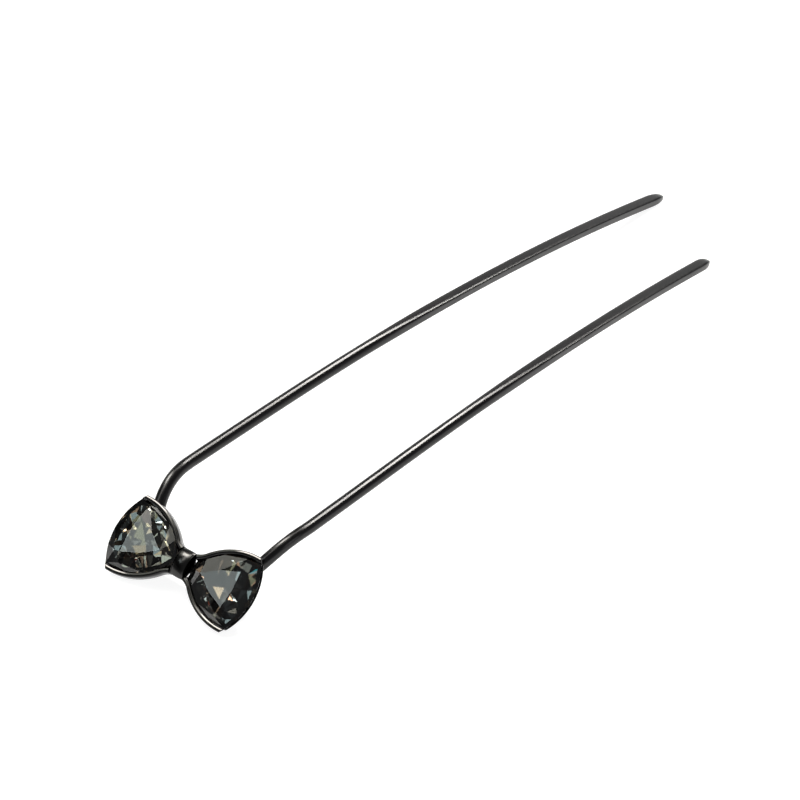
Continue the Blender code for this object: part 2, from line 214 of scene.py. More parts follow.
# Fine handling marks: hairlines, a soft cloudiness and pinpoint pits, as masks from 0 to 1
def makeHandlingGroup():
    inputs = (("Cloud Size", handling["cloudSize"]), ("Hairline Length", handling["hairlineLength"]),
              ("Hairline Width", handling["hairlineWidth"]))
    group, given, out = makeGroup("handlingMarks", inputs, ("Cloud", "Hairlines", "Pits"))
    add, link = group.nodes.new, group.links.new
    place = add("ShaderNodeTexCoord").outputs["Object"]

    cloud = add("ShaderNodeTexNoise")
    cloud.inputs["Detail"].default_value = handling["cloudDetail"]
    link(place, cloud.inputs["Vector"])
    link(addMath(group, "DIVIDE", 1, given.outputs["Cloud Size"]), cloud.inputs["Scale"])
    link(cloud.outputs["Fac"], out.inputs["Cloud"])

    across = addMath(group, "DIVIDE", 1, given.outputs["Hairline Width"])
    along = addMath(group, "DIVIDE", 1, given.outputs["Hairline Length"])
    stretch = add("ShaderNodeCombineXYZ")
    link(across, stretch.inputs["X"])
    link(along, stretch.inputs["Y"])
    link(across, stretch.inputs["Z"])
    scaled = add("ShaderNodeVectorMath")
    scaled.operation = "MULTIPLY"
    link(place, scaled.inputs[0])
    link(stretch.outputs[0], scaled.inputs[1])
    lines = add("ShaderNodeTexNoise")
    lines.inputs["Scale"].default_value = 1
    lines.inputs["Detail"].default_value = handling["hairlineDetail"]
    link(scaled.outputs[0], lines.inputs["Vector"])
    link(lines.outputs["Fac"], out.inputs["Hairlines"])

    spots = add("ShaderNodeTexVoronoi")
    spots.inputs["Scale"].default_value = handling["pitScale"]
    link(place, spots.inputs["Vector"])
    link(addRange(group, spots.outputs["Distance"], handling["pitEdge"]), out.inputs["Pits"])
    return group


handlingMarks = makeHandlingGroup()

# Two casts of the metal, that of its rubbed edges, its roughness and the depth of its marks
plating = {
    "wire": {"dark": (0.030, 0.030, 0.031), "light": (0.042, 0.041, 0.040), "worn": (0.085, 0.085, 0.085),
             "roughLow": 0.19, "roughHigh": 0.25, "bump": 0.005},
    "bow": {"dark": (0.024, 0.024, 0.025), "light": (0.036, 0.036, 0.036), "worn": (0.075, 0.072, 0.068),
            "roughLow": 0.06, "roughHigh": 0.11, "bump": 0.02},
    "knot": {"dark": (0.034, 0.034, 0.035), "light": (0.046, 0.045, 0.043), "worn": (0.060, 0.058, 0.055),
             "roughLow": 0.17, "roughHigh": 0.22, "bump": 0.012},
    "solder": {"dark": (0.045, 0.045, 0.047), "light": (0.080, 0.080, 0.080), "worn": (0.14, 0.14, 0.14),
               "roughLow": 0.26, "roughHigh": 0.42, "bump": 0.25},
}
finish = {"wearEdge": (0.25, 0.6), "leastWear": 0.55, "roughEdge": (0.3, 0.7), "markDepth": 0.02}


# Black nickel over brass: cloudy dark metal, a little lighter where the attribute says it is rubbed
def makePlating(name, look, wearFrom=None):
    material, tree, shader = newMaterial(name)
    add, link = tree.nodes.new, tree.links.new
    group = add("ShaderNodeGroup")
    group.node_tree = handlingMarks
    masks = group.outputs
    shader.inputs["Metallic"].default_value = 1
    colour = add("ShaderNodeMix")
    colour.data_type = "RGBA"
    colour.inputs["A"].default_value = (*look["dark"], 1)
    colour.inputs["B"].default_value = (*look["light"], 1)
    link(masks["Cloud"], colour.inputs["Factor"])
    result = colour.outputs["Result"]
    if wearFrom:
        rubbed = add("ShaderNodeAttribute")
        rubbed.attribute_name = wearFrom
        patchy = addRange(tree, masks["Cloud"], finish["wearEdge"], (finish["leastWear"], 1))
        worn = add("ShaderNodeMix")
        worn.data_type = "RGBA"
        worn.inputs["B"].default_value = (*look["worn"], 1)
        link(result, worn.inputs["A"])
        link(addMath(tree, "MULTIPLY", rubbed.outputs["Fac"], patchy), worn.inputs["Factor"])
        result = worn.outputs["Result"]
    link(result, shader.inputs["Base Color"])
    rough = addRange(tree, masks["Hairlines"], finish["roughEdge"], (look["roughLow"], look["roughHigh"]))
    link(rough, shader.inputs["Roughness"])
    bump = add("ShaderNodeBump")
    bump.inputs["Strength"].default_value = look["bump"]
    bump.inputs["Distance"].default_value = finish["markDepth"] * mm
    link(addMath(tree, "SUBTRACT", masks["Hairlines"], masks["Pits"]), bump.inputs["Height"])
    link(bump.outputs[0], shader.inputs["Normal"])
    return material


def selectOnly(piece):
    bpy.ops.object.select_all(action="DESELECT")
    bpy.context.view_layer.objects.active = piece
    piece.select_set(True)


# A drawn circle takes the first ring's form and is extruded and shaped, ring by ring
def growPiece(name, rings, joined=False):
    bpy.ops.object.select_all(action="DESELECT")
    bpy.ops.mesh.primitive_circle_add(vertices=len(rings[0]), radius=mm)
    piece = bpy.context.object
    piece.name = piece.data.name = name
    for vert, spot in zip(piece.data.vertices, rings[0]):
        vert.co = spot
    bpy.ops.object.mode_set(mode="EDIT")
    bpy.ops.mesh.select_mode(type="VERT")
    bpy.ops.mesh.select_all(action="SELECT")
    for before, ring in zip(rings, rings[1:]):
        bpy.ops.mesh.extrude_edges_move()
        numberOf = {tuple(spot): i for i, spot in enumerate(before)}
        shape = bmesh.from_edit_mesh(piece.data)
        for vert in shape.verts:
            if vert.select:
                vert.co = ring[numberOf[tuple(vert.co)]]
        bmesh.update_edit_mesh(piece.data)
    if joined:
        bpy.ops.mesh.select_all(action="DESELECT")
        bpy.ops.mesh.select_non_manifold()
        bpy.ops.mesh.bridge_edge_loops()
    else:
        bpy.ops.mesh.edge_face_add()
        bpy.ops.mesh.select_all(action="DESELECT")
        bpy.ops.mesh.select_non_manifold()
        bpy.ops.mesh.edge_face_add()
    bpy.ops.mesh.select_all(action="SELECT")
    bpy.ops.mesh.normals_make_consistent(inside=False)
    bpy.ops.object.mode_set(mode="OBJECT")
    return piece


# Stores a number on each vertex for the materials to read
def markVerts(piece, name, valueAt):
    marks = piece.data.attributes.new(name, "FLOAT", "POINT")
    for i, vert in enumerate(piece.data.vertices):
        marks.data[i].value = valueAt(vert.co)


# Smooths a finished mesh, moves it to its place and hands it to the frame
def finishPiece(piece, node, materials, smoothAngle=None, place=None):
    selectOnly(piece)
    for material in materials:
        piece.data.materials.append(material)
    if smoothAngle is not None:
        bpy.ops.object.shade_smooth_by_angle(angle=math.radians(smoothAngle))
    if place is not None:
        piece.data.transform(place)
    piece.select_set(False)
    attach(piece, "root")
    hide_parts(node)


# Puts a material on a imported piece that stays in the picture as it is
def dressNode(name, material):
    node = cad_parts[name]
    node.data.materials.clear()
    node.data.materials.append(material)


# The outline that a cup and its crystal share, in millimetres

loop = {
    "cornerU": 11.0, "cornerV": 6.14, "pointU": 0.5, "rimBulge": 1.8, "lipBulge": 2.20,
    "endU": 1.35, "rootU": 2.6, "rootHalf": 2.20, "endNotch": 0.35, "notchShares": (1.0, 0.8, 0.6, 0.4, 0.2),
    "bendShare": 0.45, "bendSteps": 6, "rimWall": 0.72, "land": 0.03, "lipEvenness": 0.45,
}
# Half of a rim's section, from its side wall to its crest: (distance from the side, level)
rimSection = (
    (0.0, -0.29), (0.006, -0.235), (0.022, -0.18), (0.05, -0.135), (0.09, -0.103), (0.13, -0.082),
    (0.18, -0.060), (0.23, -0.040), (0.28, -0.021), (0.31, -0.011), (0.335, -0.004), (0.36, 0.0),
)


# Centre and radius of the arc from start to end that bulges to the left of its chord
def arcThrough(start, end, bulge):
    chord = end - start
    radius = (chord.length ** 2 / 4 + bulge ** 2) / (2 * bulge)
    outward = Vector((-chord.y, chord.x)).normalized()
    return (start + end) / 2 - outward * (radius - bulge), radius


# The upper crossing of two circles
def circlesMeet(first, firstRadius, second, secondRadius):
    apart = second - first
    along = (firstRadius ** 2 - secondRadius ** 2 + apart.length ** 2) / (2 * apart.length)
    across = math.sqrt(firstRadius ** 2 - along ** 2)
    foot = first + apart.normalized() * along
    normal = Vector((-apart.y, apart.x)).normalized()
    return max((foot + normal * across, foot - normal * across), key=lambda p: p.y)


def alongArc(centre, start, end, shares):
    a = math.atan2(start.y - centre.y, start.x - centre.x)
    b = math.atan2(end.y - centre.y, end.x - centre.x)
    radius = (start - centre).length
    return [centre + Vector((math.cos(a + (b - a) * s), math.sin(a + (b - a) * s))) * radius for s in shares]


def smoothStep(t):
    t = min(max(t, 0), 1)
    return t * t * (3 - 2 * t)


# Height of a rim's rounded top, at a distance from the rim's outer face
def rimLevel(across):
    fromSide = min(across, loop["rimWall"] - across)
    for (a, low), (b, high) in zip(rimSection, rimSection[1:]):
        if fromSide <= b:
            return low + (high - low) * max(fromSide - a, 0) / (b - a)
    return 0


# Right-hand loop, moved inward, as rows of (point, lowness, distance from the rim's outer face).
# The insets are those of the rims, their outer ends, the lip and the end at the knot.
def loopOutline(insets, rimSteps, endSteps, lipSteps):
    rimInset, endInset, lipInset, knotInset = insets
    top = Vector((loop["cornerU"], loop["cornerV"]))
    low = Vector((loop["cornerU"], -loop["cornerV"]))
    rimCentre, rimRadius = arcThrough(Vector((loop["pointU"], 0)), top, loop["rimBulge"])
    lipCentre, lipRadius = arcThrough(top, low, loop["lipBulge"])
    joinU = loop["rootU"] + rimInset
    near = rimRadius - rimInset
    join = Vector((joinU, rimCentre.y + math.sqrt(near ** 2 - (joinU - rimCentre.x) ** 2)))
    root = Vector((loop["endU"] + knotInset, loop["rootHalf"] - rimInset))
    slope = Vector((join.y - rimCentre.y, rimCentre.x - join.x)).normalized()
    bend = join - slope * (join - root).length * loop["bendShare"]
    upper = []
    for t in loop["notchShares"]:
        upper.append((Vector((root.x, root.y - loop["endNotch"] * t)), smoothStep(t), rimInset))
    for i in range(loop["bendSteps"]):
        t = i / loop["bendSteps"]
        upper.append((root * (1 - t) ** 2 + bend * 2 * t * (1 - t) + join * t * t, 0, rimInset))
    corner = circlesMeet(rimCentre, near, lipCentre, lipRadius - endInset)
    for point in alongArc(rimCentre, join, corner, [i / rimSteps for i in range(rimSteps + 1)]):
        upper.append((point, 0, rimInset))
    wall = max(loop["rimWall"], rimInset) + loop["land"]
    for i in range(1, endSteps + 1):
        across = rimInset + (wall - rimInset) * i / endSteps
        point = circlesMeet(rimCentre, rimRadius - across, lipCentre, lipRadius - endInset)
        upper.append((point, 0, across))
    start = circlesMeet(rimCentre, rimRadius - wall - loop["land"], lipCentre, lipRadius - lipInset)
    shares = []
    even = loop["lipEvenness"]
    for i in range(lipSteps + 1):
        t = i / lipSteps
        shares.append(even * t + (1 - even) * (1 - math.cos(math.pi * t)) / 2)
    outer = [(point, 1, wall) for point in alongArc(lipCentre, start, Vector((start.x, -start.y)), shares)]
    return upper + outer + [(Vector((p.x, -p.y)), lowness, across) for p, lowness, across in reversed(upper)]


# Cups

cup = {
    "depth": 1.70, "floor": 0.40, "lipWall": 0.30, "lipSetback": 0.20, "lipDrop": 1.00,
    "lipHeight": 0.20, "backRound": 0.45, "lipBack": 0.55, "endBack": 0.20, "lipFloor": 0.35,
    "lipRound": 0.10, "endUndercut": 0.50, "edgeSoftness": 0.10,
    "rimSteps": 40, "endSteps": 6, "lipSteps": 56, "rubbedDepth": 0.12, "smoothAngle": 38,
}


def cupRing(side, insets, rimN, lipN):
    ring = []
    for point, lowness, across in loopOutline(insets, cup["rimSteps"], cup["endSteps"], cup["lipSteps"]):
        high = min(rimN, rimLevel(min(across, loop["rimWall"])))
        ring.append(Vector((side * point.x, point.y, high + (lipN - high) * lowness)) * mm)
    return ring


# Section through the wall, from the back round to the floor: insets, then levels of rim and lip
def cupProfile():
    back, depth, soft = cup["backRound"], cup["depth"], cup["edgeSoftness"]
    lipTop = -cup["lipDrop"]
    belly = lipTop - cup["lipHeight"]
    setback, wall = cup["lipSetback"], cup["lipWall"]
    rows = []
    for share, sink in ((1 + soft, 0), (1, soft / 4), (1 - soft, soft), (0.5, 0.5),
                        (soft, 1 - soft), (0, 1 + soft / 2)):
        undercut = cup["endUndercut"] + back * share
        insets = (back * share, undercut, setback + cup["lipBack"] * share, cup["endBack"] * share)
        rows.append((insets, back * sink - depth, (belly + depth) * sink - depth))
    lip = cup["lipRound"]
    last = len(rimSection) - 1
    for i, (across, level) in enumerate(rimSection):
        turn = math.pi / 2 * i / last
        inset = lip * (1 - math.cos(turn))
        rows.append(((across, inset, setback + inset, inset), level, lipTop - lip * (1 - math.sin(turn))))
    for i, (across, level) in enumerate(reversed(rimSection)):
        if i == 0:
            continue
        turn = math.pi / 2 * i / last
        inset = wall - lip * (1 - math.sin(turn))
        insets = (loop["rimWall"] - across, inset, setback + inset, inset)
        rows.append((insets, level, lipTop - lip * (1 - math.cos(turn))))
    floorLevel = cup["floor"] - depth
    insets = (loop["rimWall"], wall, setback + wall + cup["lipFloor"], wall)
    rows.append((insets, floorLevel, floorLevel))
    return rows


def makeCup(word, side):
    rings = [cupRing(side, *row) for row in cupProfile()]
    piece = growPiece(word + "CupShell", rings)
    depth = cup["rubbedDepth"] * mm
    markVerts(piece, "rubbed", lambda co: min(max((co.z + depth) / depth, 0), 1))
    finishPiece(piece, word + "_cup", [bowPlating], cup["smoothAngle"], bowPlace)


bowPlating = makePlating("blackNickelBow", plating["bow"], "rubbed")
for word, side in (("left", -1), ("right", 1)):
    makeCup(word, side)
print("cups are made")


# Knot

band = {
    "halfHeight": 2.20, "halfDepth": 1.15, "rise": 0.75, "wall": 0.35, "halfWidth": 1.20,
    "crown": 0.25, "endCrownShare": 0.28, "beadRise": 0.07, "bead": (0.88, 0.97), "grooveDepth": 0.04,
    "groove": (0.82, 0.88), "edgeDrop": 0.05, "roundness": 1.75, "sides": 96, "smoothAngle": 50,
    "shares": (0, 0.15, 0.3, 0.45, 0.6, 0.72, 0.80, 0.84, 0.87, 0.90, 0.93, 0.96, 0.98, 1.0),
}


def bandRing(u, drop, endDrop):
    ring = []
    for i in range(band["sides"]):
        angle = 2 * math.pi * i / band["sides"]
        c, s = math.cos(angle), math.sin(angle)
        v = math.copysign(abs(c) ** (2 / band["roundness"]), c) * (band["halfHeight"] - endDrop)
        n = math.copysign(abs(s) ** (2 / band["roundness"]), s) * (band["halfDepth"] - drop)
        ring.append(Vector((u, v, n - band["halfDepth"] + band["rise"])) * mm)
    return ring


# Barrel-shaped strip with a fine bead along each edge
def makeBand():
    half, shares = band["halfWidth"], band["shares"]
    drops = []
    for share in shares:
        drop = band["crown"] * share ** 2
        if band["groove"][0] < share < band["groove"][1]:
            drop += band["grooveDepth"]
        if band["bead"][0] < share < band["bead"][1]:
            drop -= band["beadRise"]
        if share == shares[-1]:
            drop += band["edgeDrop"]
        drops.append(max(drop, 0))
    rows = [(-half * s, d) for s, d in reversed(list(zip(shares, drops)))][:-1]
    rows += [(half * s, d) for s, d in zip(shares, drops)]
    rings = [bandRing(u, drop, drop * band["endCrownShare"]) for u, drop in rows]
    rings += [bandRing(u, band["wall"], band["wall"]) for u in (half, -half)]
    piece = growPiece("knotBarrel", rings, joined=True)
    finishPiece(piece, "knot_band", [knotPlating], band["smoothAngle"], bowPlace)


knotPlating = makePlating("blackNickelKnot", plating["knot"])
makeBand()
dressNode("bow_core", knotPlating)
print("knot is made")


# Crystals: a blank with the cup's outline, cut plane by plane as a stone is, in millimetres

stone = {
    "insets": (0.76, 0.05, 0.05, 0.14), "top": 0.78, "girdleTop": -0.24, "girdleLow": -0.36, "back": -0.85,
    "tableInner": (3.86, 0), "tableTop": (9.75, 2.95), "tableBow": 0.30, "starTilt": (11.8, 13.4),
    "lowerReach": 0.90, "rayAngles": (18, 52, 88, 121, 155), "chords": 12, "chordReach": (0.9, 3.6),
    "relief": (0.03, 0.30), "dish": 0.15, "dishReach": 2.2, "slant": 0.59, "fleck": 0.30,
    "outlineSteps": (16, 1, 24), "weld": 0.004, "backSkin": 0.001, "foilBelow": -0.2, "backFacing": -0.5,
    "stepBack": 0.5, "parallel": 1e-9, "edgeSlack": 1e-6, "cutSlack": 1e-7, "placeDigits": 2,
}
# Painted reflections on the foil: each cast stands in for the light, shade and colour that reflections give
# the facets of a cut stone, not for a colour of the foil itself
paintedCasts = {
    "silver": (0.27, 0.27, 0.23), "slate": (0.15, 0.175, 0.18), "champagne": (0.30, 0.24, 0.165),
    "sage": (0.115, 0.108, 0.07), "sand": (0.16, 0.12, 0.07), "brown": (0.15, 0.10, 0.07),
    # The orange and teal casts are painted fire, the colours of dispersion
    "smoke": (0.085, 0.083, 0.075), "black": (0.008, 0.008, 0.008), "ember": (0.45, 0.06, 0.015),
    "teal": (0.03, 0.15, 0.17), "cream": (0.050, 0.042, 0.030),
}


def girdleOutline():
    return [point for point, lowness, across in loopOutline(stone["insets"], *stone["outlineSteps"])]


# Where a line from start leaves the outline
def outlineToward(outline, start, heading):
    best, slack = None, stone["edgeSlack"]
    for a, b in zip(outline, outline[1:] + outline[:1]):
        edge = b - a
        turn = heading.x * edge.y - heading.y * edge.x
        if abs(turn) < stone["parallel"]:
            continue
        gap = a - start
        reach = (gap.x * edge.y - gap.y * edge.x) / turn
        share = (gap.x * heading.y - gap.y * heading.x) / turn
        if reach > 0 and -slack <= share <= 1 + slack and (best is None or reach < best):
            best = reach
    return start + heading * best


# Plane through three points, facing away from a point inside the stone
def planeThrough(a, b, c, away):
    normal = (b - a).cross(c - a).normalized()
    if normal.dot(a - away) < 0:
        normal = -normal
    return a, normal


# Planes of the crown and the back, each as (point, outward direction), in millimetres
def stonePlanes():
    outline = girdleOutline()
    inner = Vector(stone["tableInner"])
    top = Vector(stone["tableTop"])
    low = Vector((top.x, -top.y))
    table = []
    for a, b in ((inner, top), (top, low), (low, inner)):
        chord = b - a
        table.append(a)
        table.append((a + b) / 2 + Vector((-chord.y, chord.x)).normalized() * stone["tableBow"])
    count = len(table)
    centre = sum(table, Vector((0, 0))) / count
    heart = Vector((centre.x, centre.y, (stone["girdleTop"] + stone["back"]) / 2))
    raised = [Vector((p.x, p.y, stone["top"])) for p in table]
    contacts = []
    for i, p in enumerate(table):
        heading = (p - centre).normalized()
        if p in (top, low):  # these two corners point at the outline's own corners
            contacts.append(max(outline, key=lambda q: q.dot(heading)))
        else:
            contacts.append(outlineToward(outline, p, heading))
    mains = []
    for p, contact in zip(raised, contacts):
        foot = Vector((contact.x, contact.y, stone["girdleTop"]))
        across = Vector((0, 0, 1)).cross(foot - p)
        mains.append(planeThrough(p, foot, p + across, heart))
    planes = list(mains)
    lowRing = []
    for i in range(count):
        after = (i + 1) % count
        a, b = raised[i], raised[after]
        edge = (b - a).normalized()
        outward = Vector((-edge.y, edge.x, 0))
        slope = math.radians(stone["starTilt"][i % 2])
        normal = (outward * math.sin(slope) + Vector((0, 0, math.cos(slope)))).normalized()
        planes.append((a, normal))
        line = intersect_plane_plane(*mains[i], *mains[after])
        tip = intersect_line_plane(line[0], line[0] + line[1], a, normal)
        halfway = (contacts[i] + contacts[after]) / 2
        between = outlineToward(outline, halfway - outward.xy * stone["stepBack"], outward.xy)
        meet = Vector((between.x, between.y, stone["girdleTop"]))
        for contact in (contacts[i], contacts[after]):
            foot = Vector((contact.x, contact.y, stone["girdleTop"]))
            planes.append(planeThrough(tip, foot, meet, heart))
        lowRing += [Vector((*contacts[i], stone["girdleLow"])), Vector((*between, stone["girdleLow"]))]
    for a, b in zip(lowRing, lowRing[1:] + lowRing[:1]):
        middle = ((a + b) / 2).xy
        inner = middle + (centre - middle).normalized() * stone["lowerReach"]
        planes.append(planeThrough(a, b, Vector((*inner, stone["back"])), heart))
    return outline, planes, centre


# Picks one painted cast for a shard from a zone's weights
def choosePaintedCast(chance, weights):
    names = list(weights)
    return chance.choices(names, [weights[name] for name in names])[0]


# Wedges are shards with a set place on the back: corners, slope along u and v, and the painted cast that
# stands in for the reflection seen in them
stoneLooks = {
    "left": {
        "seed": 14,
        "weights": {
            # The table zone is mostly smoke and black, painted shade under the table; the other zones mix
            # painted reflections
            "table": {"smoke": 3, "sage": 2, "slate": 1, "black": 2},
            "upper": {"silver": 3, "sage": 4, "champagne": 3, "smoke": 1, "slate": 2},
            "outer": {"black": 1, "slate": 3, "brown": 3, "silver": 1, "champagne": 2},
            "lower": {"black": 4, "brown": 2, "smoke": 2, "silver": 3, "champagne": 2, "ember": 0.2},
        },
        "wedges": (
            {"corners": ((9.66, 2.60), (9.41, -0.18), (7.21, 0.02)), "slope": (0, 0), "paintedCast": "sage"},
            {"corners": ((8.77, -1.28), (6.86, -0.38), (6.10, -1.50), (7.33, -2.25)), "slope": (0, 0),
             "paintedCast": "sand"},
        ),
    },
    "right": {
        "seed": 2,
        "weights": {
            # Under the table nearly all black and smoke: painted shade
            "table": {"smoke": 2, "black": 6},
            "upper": {"sage": 3, "brown": 2, "slate": 1, "smoke": 2, "champagne": 1.5, "ember": 0.3},
            "outer": {"black": 2, "slate": 3, "brown": 2, "smoke": 3, "sage": 1, "teal": 0.5},
            "lower": {"slate": 3, "black": 3, "brown": 2, "smoke": 3, "silver": 1, "ember": 0.6},
        },
        "wedges": (
            {"corners": ((6.44, -0.83), (8.14, -0.19), (8.57, -1.97)), "slope": (0, -0.198), "paintedCast": "cream"},
        ),
    },
}


def insideConvex(spot, corners):
    turns = []
    for a, b in zip(corners, corners[1:] + corners[:1]):
        turns.append((b[0] - a[0]) * (spot.y - a[1]) - (b[1] - a[1]) * (spot.x - a[0]))
    return all(t > 0 for t in turns) or all(t < 0 for t in turns)


# Which side of the stone a face of the back shows on, shifted by the view's slant: under the table, or beyond
# one of its edges. Under the table the casts are mostly painted shade, beyond it painted reflections
def zoneAt(centre, side):
    spot = centre.xy / mm + Vector((side * stone["slant"], 0))
    inner, top = Vector(stone["tableInner"]), Vector(stone["tableTop"])
    if insideConvex(spot, (tuple(inner), tuple(top), (top.x, -top.y))):
        return "table"
    if spot.x > top.x + abs(spot.y) - top.y:
        return "outer"
    return "upper" if spot.y > 0 else "lower"


# The wedge that holds a face of the back, if one does
def wedgeAt(centre, wedges):
    for wedge in wedges:
        if insideConvex(centre.xy / mm, wedge["corners"]):
            return wedge
    return None


# Mesh tools give their corners in no fixed order, so random values are dealt out by place
def placeKey(spot):
    digits = stone["placeDigits"]
    return round(spot.x / mm, digits), round(spot.y / mm, digits)


# How far a place lies outside the table's edges
def beyondTable(spot):
    inner, top = Vector(stone["tableInner"]), Vector(stone["tableTop"])
    slope = (top - inner).normalized()
    fromSides = abs(spot.y) * slope.x - (spot.x - inner.x) * slope.y
    return max(fromSides, spot.x - top.x, 0)


# Straight cuts divide the flat back into shards, tipped each its own way and higher under the table
def cutShards(piece, centre, chance, wedges):
    lines = [(centre, math.radians(angle)) for angle in stone["rayAngles"]]
    for i in range(stone["chords"]):
        angle = chance.uniform(0, math.pi)
        across = Vector((-math.sin(angle), math.cos(angle)))
        lines.append((centre + across * chance.uniform(*stone["chordReach"]) * chance.choice((-1, 1)), angle))
    for wedge in wedges:
        corners = wedge["corners"]
        for a, b in zip(corners, corners[1:] + corners[:1]):
            lines.append((Vector(a), math.atan2(b[1] - a[1], b[0] - a[0])))
    backLevel = (stone["back"] + stone["backSkin"]) * mm

    def selectBack(wanted):
        bpy.ops.mesh.select_mode(type="FACE")
        shape = bmesh.from_edit_mesh(piece.data)
        for face in shape.faces:
            onBack = face.normal.z < stone["backFacing"] and max(v.co.z for v in face.verts) < backLevel
            face.select_set(onBack and wanted(wedgeAt(face.calc_center_median(), wedges)))
        bmesh.update_edit_mesh(piece.data)

    for spot, angle in lines:
        selectBack(lambda found: True)
        across = Vector((-math.sin(angle), math.cos(angle), 0))
        bpy.ops.mesh.bisect(plane_co=Vector((*spot, stone["back"])) * mm, plane_no=across)
    for wedge in wedges:
        selectBack(lambda found: found is wedge)
        bpy.ops.mesh.dissolve_faces()
    selectBack(lambda found: found is None)
    bpy.ops.mesh.quads_convert_to_tris(ngon_method="BEAUTY")
    shape = bmesh.from_edit_mesh(piece.data)
    inside = []
    for vert in shape.verts:
        if all(max(v.co.z for v in face.verts) < backLevel for face in vert.link_faces):
            inside.append(vert)
    inside.sort(key=lambda vert: placeKey(vert.co))
    flats = []
    for face in shape.faces:
        wedge = wedgeAt(face.calc_center_median(), wedges)
        if wedge and face.normal.z < stone["backFacing"]:
            flats.append((face, face.calc_center_median(), wedge))
    for vert in inside:
        away = smoothStep(beyondTable(vert.co.xy / mm) / stone["dishReach"])
        lift = chance.uniform(*stone["relief"]) * (1 - away / 2) + stone["dish"] * (1 - away)
        vert.co.z += lift * mm
    for face, middle, wedge in flats:
        for vert in face.verts:
            step = vert.co.xy - middle.xy
            rise = (sum(stone["relief"]) / 2 + stone["dish"]) * mm
            vert.co.z = middle.z + rise + step.x * wedge["slope"][0] + step.y * wedge["slope"][1]
    shape.normal_update()
    bmesh.update_edit_mesh(piece.data)


def makeStone(word, side, glass, foil):
    outline, planes, centre = stonePlanes()
    bpy.ops.object.select_all(action="DESELECT")
    bpy.ops.mesh.primitive_circle_add(vertices=len(outline), radius=mm, fill_type="NGON")
    piece = bpy.context.object
    piece.name = piece.data.name = word + "Stone"
    for vert, spot in zip(piece.data.vertices, outline):
        vert.co = Vector((spot.x, spot.y, stone["back"])) * mm
    bpy.ops.object.mode_set(mode="EDIT")
    bpy.ops.mesh.select_all(action="SELECT")
    tall = (stone["top"] - stone["back"]) * mm
    bpy.ops.mesh.extrude_region_move(TRANSFORM_OT_translate={"value": (0, 0, tall)})
    bpy.ops.mesh.select_all(action="SELECT")
    bpy.ops.mesh.normals_make_consistent(inside=False)
    for point, normal in planes:
        bpy.ops.mesh.select_all(action="SELECT")
        bpy.ops.mesh.bisect(plane_co=point * mm, plane_no=normal, use_fill=True, clear_outer=True,
                            threshold=stone["cutSlack"])
    bpy.ops.mesh.select_all(action="SELECT")
    bpy.ops.mesh.remove_doubles(threshold=stone["weld"] * mm)
    bpy.ops.mesh.dissolve_degenerate(threshold=stone["weld"] * mm)
    bpy.ops.mesh.select_all(action="DESELECT")
    look = stoneLooks[word]
    chance = random.Random(look["seed"])
    cutShards(piece, centre, chance, look["wedges"])
    bpy.ops.object.mode_set(mode="OBJECT")
    # Each face gets a painted cast by its zone; the foil reads it as painted reflection and painted shade
    paintedCast = piece.data.color_attributes.new("paintedCast", "FLOAT_COLOR", "CORNER")
    for face in sorted(piece.data.polygons, key=lambda face: placeKey(face.center)):
        face.material_index = 1 if face.normal.z < stone["foilBelow"] else 0
        name = choosePaintedCast(chance, look["weights"][zoneAt(face.center, side)])
        # The orange and teal painted fire flecks stay only on small faces; larger ones become black
        if name in ("ember", "teal") and face.area > stone["fleck"] * mm ** 2:
            name = "black"
        wedge = wedgeAt(face.center, look["wedges"])
        if wedge:
            name = wedge["paintedCast"]
        for corner in face.loop_indices:
            paintedCast.data[corner].color = (*paintedCasts[name], 1)
    if side < 0:
        piece.data.transform(Matrix.Scale(-1, 4, (1, 0, 0)))
        piece.data.flip_normals()
    finishPiece(piece, word + "_crystal", [glass, foil], None, bowPlace)
    print(word, "stone has", len(piece.data.polygons), "faces")


crystalLook = {"colour": (0.50, 0.51, 0.50), "bending": 1.56, "foilRough": 0.05}


def makeGlass():
    material, tree, shader = newMaterial("smokyGlass")
    shader.inputs["Base Color"].default_value = (*crystalLook["colour"], 1)
    shader.inputs["Transmission Weight"].default_value = 1
    shader.inputs["IOR"].default_value = crystalLook["bending"]
    shader.inputs["Roughness"].default_value = 0
    return material


# The mirror coat on the stone's back, seen through the glass; each facet has its own painted cast, a painted
# reflection, painted shade or painted fire colour laid on the mirror
def makeFoil():
    material, tree, shader = newMaterial("foilWithPaintedCasts")
    cast = tree.nodes.new("ShaderNodeAttribute")
    cast.attribute_name = "paintedCast"
    tree.links.new(cast.outputs["Color"], shader.inputs["Base Color"])
    shader.inputs["Metallic"].default_value = 1
    shader.inputs["Roughness"].default_value = crystalLook["foilRough"]
    return material


smokyGlass = makeGlass()
foilWithPaintedCasts = makeFoil()
for word, side in (("left", -1), ("right", 1)):
    makeStone(word, side, smokyGlass, foilWithPaintedCasts)
print("crystals are cut")


# Wire fork

